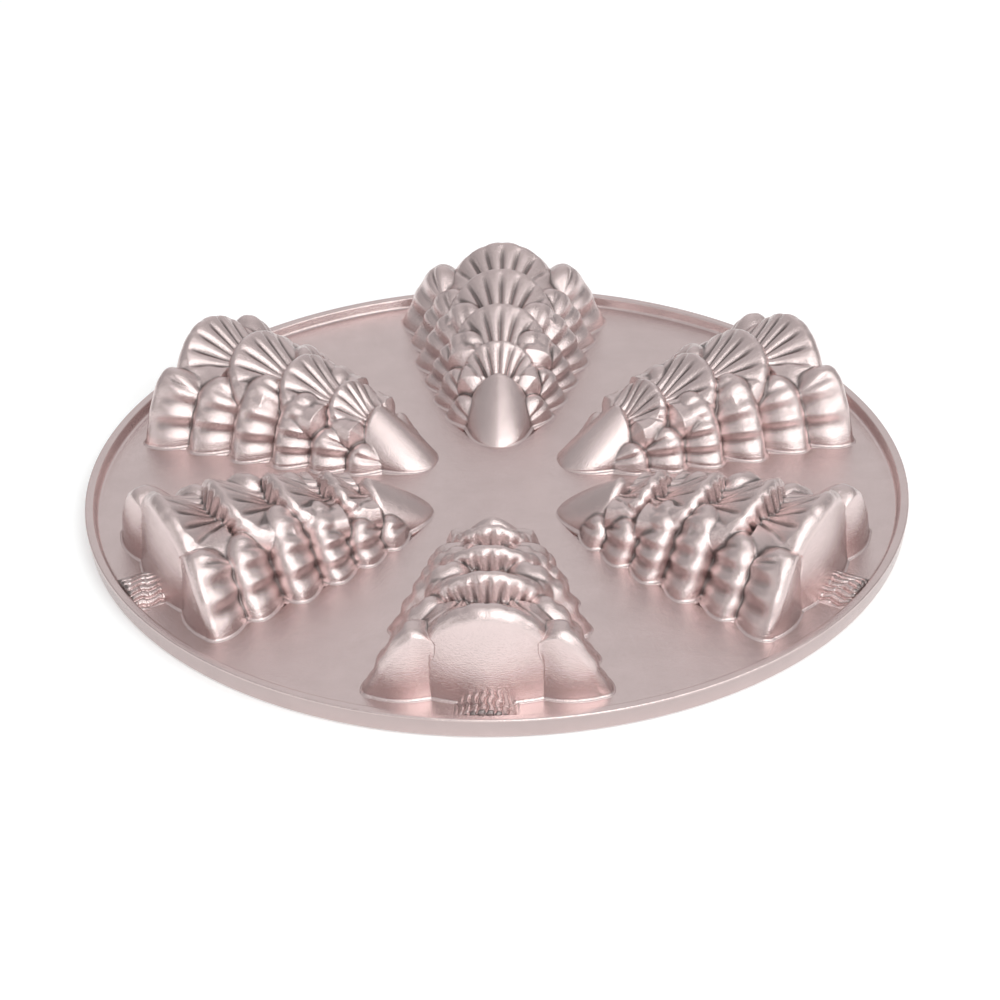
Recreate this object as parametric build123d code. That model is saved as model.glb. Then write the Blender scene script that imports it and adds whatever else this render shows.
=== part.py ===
from build123d import *
import os
from math import asin, atan2, cos, hypot, radians, sin, tan

# Six-cup tree cakelette pan, shown as it stands bottom up: the flat baking face is
# z = 0, the cups rise from it, and the origin is the middle of the pan on that face.
# The pan is one aluminium casting. Its named regions are kept as separate solids
# that meet face to face: the middle of the deck, a deck sector between each two
# cups, the rim, and for each cup three tiers of boughs, an end wall and a trunk.
# All lengths are in millimetres and all angles in degrees.

# Deck and rim. The tips of the cups reach into the deck's middle by its overlap.
DECK_THICKNESS = 3.5
DECK_MIDDLE_OVERLAP = 6.0
RIM_WIDTH = 5.0
RIM_HEIGHT = 7.5
RIM_FLARE = 0.8

# Cups around the pan
CUP_COUNT = 6
FIRST_CUP_ANGLE = 270.0
TIP_RADIUS = 27.5
CUP_WALL = 3.0

# Tip of the tree, a round-nosed cone that leans up from the deck
TIP_LENGTH = 27.0
TIP_HALF_ANGLE = 21.0
TIP_LEAN = 13.5
TIP_NOSE_RADIUS = 4.0
TIP_LIP_ROUND = 3.0

# Four crown boughs along the ridge, from the tip to the base. A bough is a cone
# that opens towards the base and ends in a rounded lip above the next one.
CROWN_PITCHES = (14.5, 21.0, 22.0, 20.9)
CROWN_CRESTS = (24.9, 29.9, 33.9, 35.3)
CROWN_ARCH_RADII = (14.5, 16.5, 19.5, 24.0)
FIRST_ROOT = 12.0
CROWN_STEP = 6.8
CROWN_LIP_ROUND = 3.6

# Side boughs on each flank, from the tip to the base. The last one ends in the end
# wall. The others have their lips at these distances from the tip.
SIDE_LIPS = (26.5, 40.5, 54.5, 70.0, 87.5)
SIDE_REACHES = (20.3, 25.4, 29.8, 33.8, 37.0, 41.4)
SIDE_ARCH_RADII = (13.8, 16.2, 24.3, 26.8, 27.1, 26.9)
SIDE_STEP = 5.5
SIDE_LIP_ROUND = 3.4
SIDE_END_SETBACK = 1.9

# How far a bough runs back under the lip before it, and how far past a lip a tier
# of boughs ends: the first tier past the first crown bough, the second past the
# fourth side bough
BOUGH_OVERLAP = 7.0
TIER_SETBACK = 1.5

# End wall of a cup: a middle and two side panels that bow outwards and lean in
END_WALL_DEPTH = 7.0
MIDDLE_PANEL_HALF_WIDTH = 18.4
MIDDLE_PANEL_BOW = 3.3
SIDE_PANEL_BOW = 2.6
PANEL_DRAFT = 5.0

# Trunk, a low half-round boss between the end wall and the rim
TRUNK_LENGTH = 12.1
TRUNK_WIDTH = 20.0
TRUNK_HEIGHT = 5.0
TRUNK_WALL = 2.8

TIP_TO_BASE = TIP_LENGTH + sum(CROWN_PITCHES)
BASE_RADIUS = TIP_RADIUS + TIP_TO_BASE
DECK_RADIUS = BASE_RADIUS + TRUNK_LENGTH
PAN_RADIUS = DECK_RADIUS + RIM_WIDTH
CUP_REACH = max(SIDE_REACHES)
CUP_HEIGHT = DECK_THICKNESS + max(CROWN_CRESTS)
SMALLEST_ROOT = 0.5


def bough(outline, origin, lean=0.0):
    """Turn an outline (x along the bough, y its radius) about its own axis, and drop
    straight sides from its widest line, so that the cup can leave its mould."""
    place = Pos(*origin) * Rot(0, -lean, 0)
    turned = place * revolve(outline, Axis.X, 360)
    spread = place * (outline + mirror(outline, about=Plane.XZ))
    sides = extrude(spread, amount=CUP_HEIGHT, dir=(0, 0, -1))
    return turned + sides


def cone_outline(root, root_radius, lip, crest_radius, lip_round, wall):
    """Half outline of a bough: a cone from its root, tangent to a rounded lip whose
    crest has the given radius. A wall above zero gives the hollow inside it, with
    every face moved inwards by the wall."""
    run = lip - lip_round - root
    rise = crest_radius - lip_round - root_radius
    slope = atan2(rise, run) + asin(lip_round / hypot(run, rise))
    drop = wall / cos(slope)
    start = root - min(BOUGH_OVERLAP, (root_radius - drop - SMALLEST_ROOT) / tan(slope))
    start_radius = root_radius - drop + (start - root) * tan(slope)
    end = lip - wall
    end_radius = root_radius - drop + (end - root) * tan(slope)
    corners = Polyline((start, 0), (start, start_radius), (end, end_radius), (end, 0), close=True)
    face = make_face(corners)
    corner = face.vertices().sort_by(Axis.Y)[-1]
    return fillet(corner, max(lip_round - wall, lip_round / 8))


def tip_bough(wall):
    """The smooth tip: a ball nose that runs tangent into a leaning cone."""
    half = radians(TIP_HALF_ANGLE)
    lean = radians(TIP_LEAN)
    nose = TIP_NOSE_RADIUS - wall
    apex = TIP_NOSE_RADIUS / sin(half)
    run = TIP_LENGTH - TIP_NOSE_RADIUS + apex * tan(half) * sin(lean)
    length = run / (cos(lean) - tan(half) * sin(lean)) - wall
    lip_radius = (length + nose / sin(half)) * tan(half)
    arc_middle = radians(45 + TIP_HALF_ANGLE / 2)
    edge = ThreePointArc(
        (-nose, 0),
        (-nose * sin(arc_middle), nose * cos(arc_middle)),
        (-nose * sin(half), nose * cos(half)),
    )
    rest = Polyline(tuple(edge @ 1), (length, lip_radius), (length, 0), (-nose, 0))
    face = make_face(edge + rest)
    corner = face.vertices().sort_by(Axis.Y)[-1]
    outline = fillet(corner, max(TIP_LIP_ROUND - wall, TIP_LIP_ROUND / 8))
    centre = (TIP_RADIUS + TIP_NOSE_RADIUS, 0, DECK_THICKNESS)
    return bough(outline, centre, TIP_LEAN)


def crown_boughs(wall):
    """The boughs along the ridge. Each starts a step below the lip before it."""
    boughs = []
    lip = TIP_RADIUS + TIP_LENGTH
    root_height = FIRST_ROOT
    for pitch, crest, arch in zip(CROWN_PITCHES, CROWN_CRESTS, CROWN_ARCH_RADII):
        root = lip
        lip = lip + pitch
        axis_height = crest - arch
        outline = cone_outline(root, root_height - axis_height, lip, arch, CROWN_LIP_ROUND, wall)
        boughs.append(bough(outline, (0, 0, DECK_THICKNESS + axis_height)))
        root_height = crest - CROWN_STEP
    return boughs


def side_boughs(wall):
    """The boughs on both flanks, each about an axis that lies on the deck."""
    lips = [TIP_RADIUS + lip for lip in SIDE_LIPS] + [BASE_RADIUS - SIDE_END_SETBACK]
    boughs = []
    root = TIP_RADIUS + SIDE_LIPS[0] / 2
    for lip, reach, arch in zip(lips, SIDE_REACHES, SIDE_ARCH_RADII):
        outline = cone_outline(root, arch - SIDE_STEP, lip, arch, SIDE_LIP_ROUND, wall)
        for side in (-1, 1):
            boughs.append(bough(outline, (0, side * (reach - arch), DECK_THICKNESS)))
        root = lip
    return boughs


def panel(middle, half_width, wall_line, bow, top_arch, axis_v, axis_z):
    """One bowed panel of the end wall: part of an upright cone, inside its arch."""
    base_radius = (half_width**2 + bow**2) / (2 * bow)
    top_radius = base_radius - CUP_HEIGHT * tan(radians(PANEL_DRAFT))
    upright = Cone(base_radius, top_radius, CUP_HEIGHT, align=(Align.CENTER, Align.CENTER, Align.MIN))
    upright = Pos(wall_line + bow - base_radius, middle, 0) * upright
    depth = END_WALL_DEPTH / 2
    block = Box(depth + bow, 2 * half_width, CUP_HEIGHT, align=(Align.MIN, Align.CENTER, Align.MIN))
    block = Pos(wall_line - depth, middle, 0) * block
    arch_face = make_face(Polyline((0, 0), (0, top_arch), (END_WALL_DEPTH + bow, top_arch),
                                   (END_WALL_DEPTH + bow, 0), close=True))
    arch = bough(arch_face, (wall_line - depth, axis_v, axis_z))
    return upright & block & arch


def end_panels():
    """The three panels that bow out beyond the flat ends of the last boughs."""
    crown_arch = CROWN_ARCH_RADII[-1]
    crown_axis = DECK_THICKNESS + CROWN_CRESTS[-1] - crown_arch
    panels = [panel(0, MIDDLE_PANEL_HALF_WIDTH, BASE_RADIUS, MIDDLE_PANEL_BOW,
                    crown_arch - CROWN_LIP_ROUND, 0, crown_axis)]
    reach = SIDE_REACHES[-1]
    arch = SIDE_ARCH_RADII[-1]
    half_width = (reach - MIDDLE_PANEL_HALF_WIDTH) / 2
    for side in (-1, 1):
        panels.append(panel(side * (reach - half_width), half_width,
                            BASE_RADIUS - SIDE_END_SETBACK, SIDE_PANEL_BOW,
                            arch - SIDE_LIP_ROUND, side * (reach - arch), DECK_THICKNESS))
    return panels


def trunk_form(start, end, shrink):
    """A low round-topped bar along the cup's axis, made smaller by shrink all round."""
    radius = ((TRUNK_WIDTH / 2) ** 2 + TRUNK_HEIGHT**2) / (2 * TRUNK_HEIGHT)
    middle = DECK_THICKNESS + TRUNK_HEIGHT - radius
    bar = Cylinder(radius - shrink, end - start, rotation=(0, 90, 0))
    return Pos((start + end) / 2, 0, middle) * bar


def core():
    """The middle of the hollow, one wall below the root of every crown bough, so that
    no ridge of metal is left between the hollows of two boughs."""
    lips = [TIP_RADIUS + TIP_LENGTH + sum(CROWN_PITCHES[:number]) for number in range(len(CROWN_PITCHES))]
    roots = [FIRST_ROOT] + [crest - CROWN_STEP for crest in CROWN_CRESTS[:-1]]
    line = [(lip, root - CUP_WALL) for lip, root in zip(lips, roots)]
    start = TIP_RADIUS + TIP_LENGTH / 2
    end = BASE_RADIUS - CUP_WALL
    corners = [(start, 0), (start, FIRST_ROOT / 2)] + line + [(end, line[-1][1]), (end, 0)]
    return bough(make_face(Polyline(*corners, close=True)), (0, 0, DECK_THICKNESS))


def slab(inner, outer):
    """Everything above the baking face between two distances from the pan's centre."""
    size = 4 * CUP_REACH
    block = Box(outer - inner, size, size, align=(Align.MIN, Align.CENTER, Align.MIN))
    return Pos(inner, 0, 0) * block


def joined(solids):
    """The union of a list of solids, above the baking face."""
    whole = solids[0]
    for solid in solids[1:]:
        whole = whole + solid
    return whole & slab(0, PAN_RADIUS)


# One cup, built along +X and then set around the pan
outer = joined([tip_bough(0)] + crown_boughs(0) + side_boughs(0) + end_panels())
hollow = joined([tip_bough(CUP_WALL)] + crown_boughs(CUP_WALL) + side_boughs(CUP_WALL) + [core()])
trunk_hollow = trunk_form(BASE_RADIUS - END_WALL_DEPTH, DECK_RADIUS - TRUNK_WALL, TRUNK_WALL)
trunk_body = trunk_form(BASE_RADIUS - END_WALL_DEPTH, PAN_RADIUS, 0)
shell = outer - hollow
first_split = TIP_RADIUS + TIP_LENGTH + CROWN_PITCHES[0] + TIER_SETBACK
second_split = TIP_RADIUS + SIDE_LIPS[3] + TIER_SETBACK
wall_split = BASE_RADIUS - END_WALL_DEPTH
tip_boughs = shell & slab(0, first_split)
middle_boughs = shell & slab(first_split, second_split)
base_boughs = shell & slab(second_split, wall_split)
end_wall = (shell & slab(wall_split, PAN_RADIUS)) - trunk_hollow
inside_rim = Cylinder(DECK_RADIUS, CUP_HEIGHT, align=(Align.CENTER, Align.CENTER, Align.MIN))
trunk_cut = (trunk_body & inside_rim) - outer
trunk = trunk_cut - trunk_hollow

# The deck: its middle, and the sector between the first cup and the next one
cup_step = 360 / CUP_COUNT
angles = [FIRST_CUP_ANGLE + number * cup_step for number in range(CUP_COUNT)]
bottom_up = (Align.CENTER, Align.CENTER, Align.MIN)
middle_disc = Cylinder(TIP_RADIUS + DECK_MIDDLE_OVERLAP, DECK_THICKNESS, align=bottom_up)
deck_middle = middle_disc
for angle in angles:
    deck_middle = deck_middle - Rot(0, 0, angle) * outer
ring = Cylinder(DECK_RADIUS, DECK_THICKNESS, align=bottom_up) - middle_disc
next_axis = Rot(0, 0, cup_step)
far = 2 * PAN_RADIUS
corner = (far * cos(radians(cup_step)), far * sin(radians(cup_step)))
wedge = extrude(make_face(Polyline((0, 0), (far, 0), corner, close=True)), DECK_THICKNESS)
deck_sector = (ring & wedge) - outer - trunk_cut - next_axis * outer - next_axis * trunk_cut

# The rim: a flared outer band with a bead on top
bead_radius = (RIM_WIDTH - RIM_FLARE) / 2
band_height = RIM_HEIGHT - bead_radius
bead_outside = PAN_RADIUS - RIM_FLARE
band = Polyline((DECK_RADIUS, band_height), (DECK_RADIUS, 0), (PAN_RADIUS, 0), (bead_outside, band_height))
bead = ThreePointArc((bead_outside, band_height), (DECK_RADIUS + bead_radius, RIM_HEIGHT),
                     (DECK_RADIUS, band_height))
rim = revolve(Plane.XZ * make_face(band + bead), Axis.Z, 360)

os.makedirs("parts", exist_ok=True)
export_step(deck_middle, "parts/deck_middle.step")
export_step(rim, "parts/rim.step")
for number, angle in enumerate(angles, start=1):
    turn = Rot(0, 0, angle)
    export_step(turn * deck_sector, f"parts/deck_sector_{number}.step")
    export_step(turn * tip_boughs, f"parts/tip_boughs_{number}.step")
    export_step(turn * middle_boughs, f"parts/middle_boughs_{number}.step")
    export_step(turn * base_boughs, f"parts/base_boughs_{number}.step")
    export_step(turn * end_wall, f"parts/end_wall_{number}.step")
    export_step(turn * trunk, f"parts/trunk_{number}.step")
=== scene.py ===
import bpy
import numpy as np
from mathutils import Matrix, Vector


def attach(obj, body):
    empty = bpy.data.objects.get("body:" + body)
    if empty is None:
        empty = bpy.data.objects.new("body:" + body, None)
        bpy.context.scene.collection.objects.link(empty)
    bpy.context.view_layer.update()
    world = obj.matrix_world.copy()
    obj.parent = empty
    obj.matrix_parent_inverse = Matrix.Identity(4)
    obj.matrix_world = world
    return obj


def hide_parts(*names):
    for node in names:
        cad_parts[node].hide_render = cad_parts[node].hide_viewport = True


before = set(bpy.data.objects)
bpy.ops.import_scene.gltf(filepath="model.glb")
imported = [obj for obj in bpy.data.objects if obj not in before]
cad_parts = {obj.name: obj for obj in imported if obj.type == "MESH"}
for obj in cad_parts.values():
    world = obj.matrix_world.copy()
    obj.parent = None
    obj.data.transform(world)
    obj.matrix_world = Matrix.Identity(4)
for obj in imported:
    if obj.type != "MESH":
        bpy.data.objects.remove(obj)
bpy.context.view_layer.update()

# The metal. The whole pan is one aluminium casting with a sprayed satin coat in a
# pale rose silver. The sand of the mould and the flakes in the coat leave a fine
# grain that sparkles where light falls across it.
ROSE_SILVER = (0.7, 0.575, 0.565, 1.0)
COAT_METALLIC = 0.97
COAT_ROUGHNESS = 0.145
ROUGHNESS_SPREAD = 0.5
# Noises: cells in a metre, octaves and the share that each octave keeps
GRAIN_NOISE = (2200.0, 2.0, 0.7)
MOTTLE_NOISE = (90.0, 3.0, 0.5)
# The middle of a noise's values, and the shades of the coat from one end to the other
NOISE_SPAN = (0.3, 0.7)
GRAIN_SHADES = (0.96, 1.04)
MOTTLE_SHADES = (0.97, 1.03)
# Height of the grain in metres, and how much of it the plain parts and the relief get
GRAIN_HEIGHT = 0.00013
PLAIN_GRAIN = 1.0
RELIEF_GRAIN = 1.1
# Painted shade in hollows: depths in mm between which the colour gets darker, and the shades there
HOLLOW_SPAN = (0.02, 0.42)
HOLLOW_PAINTED_SHADES = (1.0, 0.36)


def math_node(nodes, links, operation, *values):
    """A Math node of two or three values, each a socket or a number, and its result."""
    node = nodes.new("ShaderNodeMath")
    node.operation = operation
    for socket, value in zip(node.inputs, values):
        if isinstance(value, float):
            socket.default_value = value
        else:
            links.new(value, socket)
    return node.outputs[0]


def range_node(nodes, links, value, span, levels):
    """A Map Range node, which carries the value from one span to another in proportion
    and stops at its ends."""
    node = nodes.new("ShaderNodeMapRange")
    node.inputs["From Min"].default_value, node.inputs["From Max"].default_value = span
    node.inputs["To Min"].default_value, node.inputs["To Max"].default_value = levels
    links.new(value, node.inputs["Value"])
    return node


def noise_node(nodes, links, noise):
    """The value of a noise that lies still in the piece's own coordinates."""
    place = nodes.new("ShaderNodeTexCoord")
    node = nodes.new("ShaderNodeTexNoise")
    for name, value in zip(("Scale", "Detail", "Roughness"), noise):
        node.inputs[name].default_value = value
    links.new(place.outputs["Object"], node.inputs["Vector"])
    return node.outputs["Fac"]


def grain_group():
    """Sprayed grain and painted shade: fine noise as a height, a roughness and a slight
    change of colour. The colour is also darker where the Hollow input, a depth in mm,
    says that the surface lies in a hollow: shade painted into the hollows."""
    group = bpy.data.node_groups.new("grain_and_painted_shade", "ShaderNodeTree")
    face = group.interface
    face.new_socket("Colour", in_out="INPUT", socket_type="NodeSocketColor")
    for name in ("Roughness", "Amount", "Hollow"):
        face.new_socket(name, in_out="INPUT", socket_type="NodeSocketFloat")
    face.new_socket("Colour", in_out="OUTPUT", socket_type="NodeSocketColor")
    for name in ("Roughness", "Height"):
        face.new_socket(name, in_out="OUTPUT", socket_type="NodeSocketFloat")
    nodes = group.nodes
    links = group.links
    source = nodes.new("NodeGroupInput").outputs
    result = nodes.new("NodeGroupOutput").inputs
    grain = noise_node(nodes, links, GRAIN_NOISE)
    mottle = noise_node(nodes, links, MOTTLE_NOISE)
    centred = math_node(nodes, links, "SUBTRACT", grain, 0.5)
    height = math_node(nodes, links, "MULTIPLY", centred, source["Amount"])
    links.new(height, result["Height"])
    shade = range_node(nodes, links, grain, NOISE_SPAN, GRAIN_SHADES).outputs["Result"]
    patch = range_node(nodes, links, mottle, NOISE_SPAN, MOTTLE_SHADES).outputs["Result"]
    # Painted shade: the colour is darker where the Hollow input is deep
    painted_shade = range_node(nodes, links, source["Hollow"], HOLLOW_SPAN, HOLLOW_PAINTED_SHADES).outputs["Result"]
    coated = math_node(nodes, links, "MULTIPLY", shade, painted_shade)
    tinted = nodes.new("ShaderNodeVectorMath")
    tinted.operation = "SCALE"
    links.new(source["Colour"], tinted.inputs[0])
    links.new(math_node(nodes, links, "MULTIPLY", coated, patch), tinted.inputs["Scale"])
    links.new(tinted.outputs["Vector"], result["Colour"])
    rough = math_node(nodes, links, "MULTIPLY_ADD", centred, ROUGHNESS_SPREAD, source["Roughness"])
    links.new(rough, result["Roughness"])
    return group


grain_and_painted_shade = grain_group()


def coated_metal(name, amount):
    """The coated casting: a metallic base under the grain, with the grain as bump too.
    The piece's own hollow attribute says where shade is painted into its colour."""
    material = bpy.data.materials.new(name)
    material.use_nodes = True
    nodes = material.node_tree.nodes
    links = material.node_tree.links
    surface = nodes["Principled BSDF"]
    surface.inputs["Metallic"].default_value = COAT_METALLIC
    grain = nodes.new("ShaderNodeGroup")
    grain.node_tree = grain_and_painted_shade
    grain.inputs["Colour"].default_value = ROSE_SILVER
    grain.inputs["Roughness"].default_value = COAT_ROUGHNESS
    grain.inputs["Amount"].default_value = amount
    # The hollow attribute sets the painted shade in the colour
    depth = nodes.new("ShaderNodeAttribute")
    depth.attribute_name = "hollow"
    links.new(depth.outputs["Fac"], grain.inputs["Hollow"])
    bump = nodes.new("ShaderNodeBump")
    bump.inputs["Strength"].default_value = 1.0
    bump.inputs["Distance"].default_value = GRAIN_HEIGHT
    links.new(grain.outputs["Height"], bump.inputs["Height"])
    links.new(bump.outputs["Normal"], surface.inputs["Normal"])
    links.new(grain.outputs["Colour"], surface.inputs["Base Color"])
    links.new(grain.outputs["Roughness"], surface.inputs["Roughness"])
    return material


cast_coat = coated_metal("rose_silver_coat", PLAIN_GRAIN)
relief_coat = coated_metal("rose_silver_relief", RELIEF_GRAIN)

# The deck. The flat plate that joins the six cups is cast with them and has the same
# coat. Its regions are the frame's own solids, and they only need the material.
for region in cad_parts.values():
    for place in region.material_slots:
        place.material = cast_coat

# The cups. Each is half a fir tree with its back on the deck: a smooth tip, four
# scallop fans along the crown and six ribbed side boughs on each flank. The walls
# are about 3 mm thick, so the cake's side repeats the same relief. Lengths in mm.
MM = 0.001
TINY = 1e-6
CUP_COUNT = 6
FIRST_CUP_ANGLE = -90.0
DECK_TOP = 3.5

# The tip: a blunt bud that climbs along its run and widens a little towards its lip
TIP_START = 27.4
TIP_RUN = 24.0
TIP_CREST = 18.7
TIP_CLIMB = 0.8
TIP_HALF_WIDTH = 12.3
TIP_BLUNTNESS = 3
TIP_SPREAD = 1.5
TIP_SPREAD_SPAN = (36.0, 54.0)
TIP_KEEL = 1.6
TIP_LIP_START = 40.0
TIP_LIP_LENGTH = 14.5
TIP_LIP_REACH = 27.0
TIP_GIRTH = 0.8

# Lips: radius of the rounding, and the tilt at which its arc runs out into a wall
LIP_ROLL = 3.6
ROLL_LIMIT = np.radians(76.0)
# How close two forms are where the crease between them starts to be blended
BOUGH_BLEND = 0.7

# Crown fans: hinge, lip, crest height, half width, reach round the arch, height of
# the root, ribs in half a turn
CROWN_FANS = (
    (54.5, 69.0, 24.9, 18.0, 26.0, 12.2, 20),
    (69.0, 90.0, 29.9, 22.9, 30.0, 15.5, 18),
    (90.0, 112.0, 33.9, 25.8, 32.0, 20.0, 18),
    (112.0, 133.0, 35.3, 26.0, 36.0, 22.5, 18),
)
# The last fan has no lip of its own, because the end wall cuts it off
LAST_FAN_LIP = CROWN_FANS[-1][1]
FAN_SQUARENESS = 2.5
FAN_ROOT_SLOPE = 2.2
FAN_RISE = 1.15
FAN_CREST_SETBACK = 0.9
FAN_ROLL_SIDE = 6.2
FAN_GROOVE_DEPTH = 1.4
FAN_GROOVE_WIDTH = 0.42
FAN_RAYS_BACK = 20.0
# Where things on a fan fade, as shares of the way out to its lip, across it, or along
FAN_ROLL_WIDENS = (0.25, 0.7)
FAN_GROOVES_END = (0.55, 0.95)
FAN_GROOVES_SIDE = (0.45, 0.85)
FAN_CORNER_SIDE = (0.3, 0.5)
FAN_CORNER_BACK = (0.25, 0.6)
# The columns of the wall under a fan's lip
COLUMN_DEPTH = 1.1
COLUMN_PITCH = 4.7
COLUMN_GROOVE_WIDTH = 0.55
COLUMNS_START = (0.3 * LIP_ROLL, 1.1 * LIP_ROLL)
COLUMNS_SIDE = (0.45, 0.75)

# Side boughs: lip, crest line, run to the bough before, drop there, waist radius,
# flare at the deck, angle of the top, width of the rounded top along the cup, first
# ring groove above the deck, ring pitch and how many ring grooves
SIDE_BOUGHS = (
    (57.5, 52.5, 10.0, 8.0, 18.6, 2.2, 43.0, 10.0, 6.0, 6.0, 0),
    (70.3, 65.3, 10.0, 6.5, 23.5, 2.5, 47.0, 11.0, 5.8, 7.0, 1),
    (84.2, 79.2, 10.5, 7.5, 27.0, 3.4, 76.0, 13.0, 4.6, 6.6, 3),
    (100.2, 94.7, 11.0, 8.5, 30.8, 3.8, 75.0, 14.0, 7.0, 8.4, 3),
    (117.8, 112.3, 11.5, 7.4, 32.6, 4.8, 60.0, 14.0, 7.9, 8.2, 2),
    (137.0, 128.0, 11.5, 6.6, 37.1, 4.3, 50.5, 12.5, 7.9, 9.5, 2),
)
SIDE_ROLL = 6.0
TOP_ROLL = 8.0
TOP_ROLL_SHARE = 0.6
TOP_SINK = 0.8
FLARE_ANGLE = np.radians(13.0)
FOOT_TURN_BACK = 1.8
RING_GROOVE_DEPTH = 1.2
RING_GROOVE_AT_LIP = 0.3
RING_GROOVE_WIDTH = 1.1
SCALLOP_DEPTH = 0.5
TOP_GROOVE_DEPTH = 1.0
TOP_GROOVE_WIDTH = 0.6
TOP_GROOVE_RAYS = 6.0
TOP_GROOVE_START = 0.3
LEAST_RAY = 1.0
# Distances from the lip between which the grooves deepen, and where the last lip is
FACE_SPAN = (2.0, 8.0)
LAST_FACE = 132.5


def arch(height, half_width, phi):
    """Distance from the axis to an ellipse with that crown height and half width."""
    return height * half_width / np.hypot(half_width * np.sin(phi), height * np.cos(phi))


def rolled_lip(inside, radius):
    """Drop at a distance inside a lip: a quarter circle, then a steep straight wall."""
    limit = radius * np.sin(ROLL_LIMIT)
    past = radius - inside
    on_arc = np.clip(past, 0.0, limit)
    curve = radius - np.sqrt(radius**2 - on_arc**2)
    return curve + np.clip(past - limit, 0.0, None) * np.tan(ROLL_LIMIT)


def groove(turns, width):
    """Depth of the grooves between rounded ribs: a raised cosine to a power, 1 in a
    groove, one each turn, and 0 on the backs of the ribs. A smaller width gives
    sharper grooves."""
    return (0.5 + 0.5 * np.cos(2.0 * np.pi * turns)) ** (1.0 / width)


def fade(value, start, end):
    """Smooth cubic step from 0 at start to 1 at end."""
    share = np.clip((value - start) / (end - start), 0.0, 1.0)
    return share * share * (3.0 - 2.0 * share)


def softer_max(first, second, blend):
    """The larger of two surfaces, plus a parabola where they differ by less than the
    blend, which rounds out the crease between them."""
    near = np.clip(blend - np.abs(first - second), 0.0, None)
    return np.maximum(first, second) + near**2 / (4.0 * blend)


def tip_surface(u, phi):
    """A bud shape: its plan widens as a blunt curve, its crest climbs as a power of the
    distance, and its section is a slightly pointed superellipse, cut by an oval lip."""
    share = np.clip((u - TIP_START) / TIP_RUN, 0.0, 1.0)
    half_width = TIP_HALF_WIDTH * np.sqrt(1.0 - (1.0 - share) ** TIP_BLUNTNESS) + TINY
    half_width = half_width + TIP_SPREAD * fade(u, *TIP_SPREAD_SPAN)
    crest = TIP_CREST * share**TIP_CLIMB + TINY
    side = np.abs(np.cos(phi)) / half_width
    up = np.abs(np.sin(phi)) / crest
    radius = (side**TIP_KEEL + up**TIP_KEEL) ** (-1.0 / TIP_KEEL)
    along = np.clip(u - TIP_LIP_START, 0.0, None)
    across = np.abs(np.pi / 2 - phi) * TIP_CREST * TIP_GIRTH
    reach = np.hypot(along / TIP_LIP_LENGTH, across / TIP_LIP_REACH)
    span = np.hypot(along, across) / np.maximum(reach, TINY)
    inside = np.where(u > TIP_LIP_START, (1.0 - reach) * span, LIP_ROLL)
    return radius - rolled_lip(np.minimum(inside, LIP_ROLL), LIP_ROLL)


def crown_fan(u, phi, hinge, lip, height, half_width, reach, root, ribs):
    """A scallop: it rises from its hinge along every ray to a squarish oval lip, its
    ribs follow the rays, and past the lip it drops as a steep wall of columns."""
    girth = (height + half_width) / 2.0
    along = np.clip(u - hinge, 0.0, None) / (lip - hinge)
    across = np.abs(np.pi / 2 - phi) * girth / reach
    share = (along**FAN_SQUARENESS + across**FAN_SQUARENESS) ** (1.0 / FAN_SQUARENESS)
    turn = np.arctan2(across * reach, along * (lip - hinge) + FAN_RAYS_BACK)
    span = np.hypot(along * (lip - hinge), across * reach) / np.maximum(share, TINY)
    roll = LIP_ROLL + (FAN_ROLL_SIDE - LIP_ROLL) * fade(across, *FAN_ROLL_WIDENS)
    crest = 1.0 - FAN_CREST_SETBACK * roll / (lip - hinge)
    rise = 1.0 - (1.0 - root / height) * np.clip(1.0 - share / crest, 0.0, None) ** FAN_RISE
    on_fan = (1.0 - fade(share, *FAN_GROOVES_END)) * (1.0 - fade(across, *FAN_GROOVES_SIDE))
    corner = fade(across, *FAN_CORNER_SIDE) * (1.0 - fade(along, *FAN_CORNER_BACK))
    ribbing = groove(turn * ribs / np.pi, FAN_GROOVE_WIDTH) * on_fan * (1.0 - corner)
    past = (1.0 - share) * span
    on_wall = fade(roll - past, *COLUMNS_START) * (1.0 - fade(across, *COLUMNS_SIDE))
    columns = groove(across * reach / COLUMN_PITCH, COLUMN_GROOVE_WIDTH) * on_wall
    radius = arch(height, half_width, phi) * rise - FAN_GROOVE_DEPTH * ribbing
    if lip < LAST_FAN_LIP:
        radius = radius - rolled_lip(past - COLUMN_DEPTH * columns, roll)
    return radius - FAN_ROOT_SLOPE * np.clip(hinge - u, 0.0, None)


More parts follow.
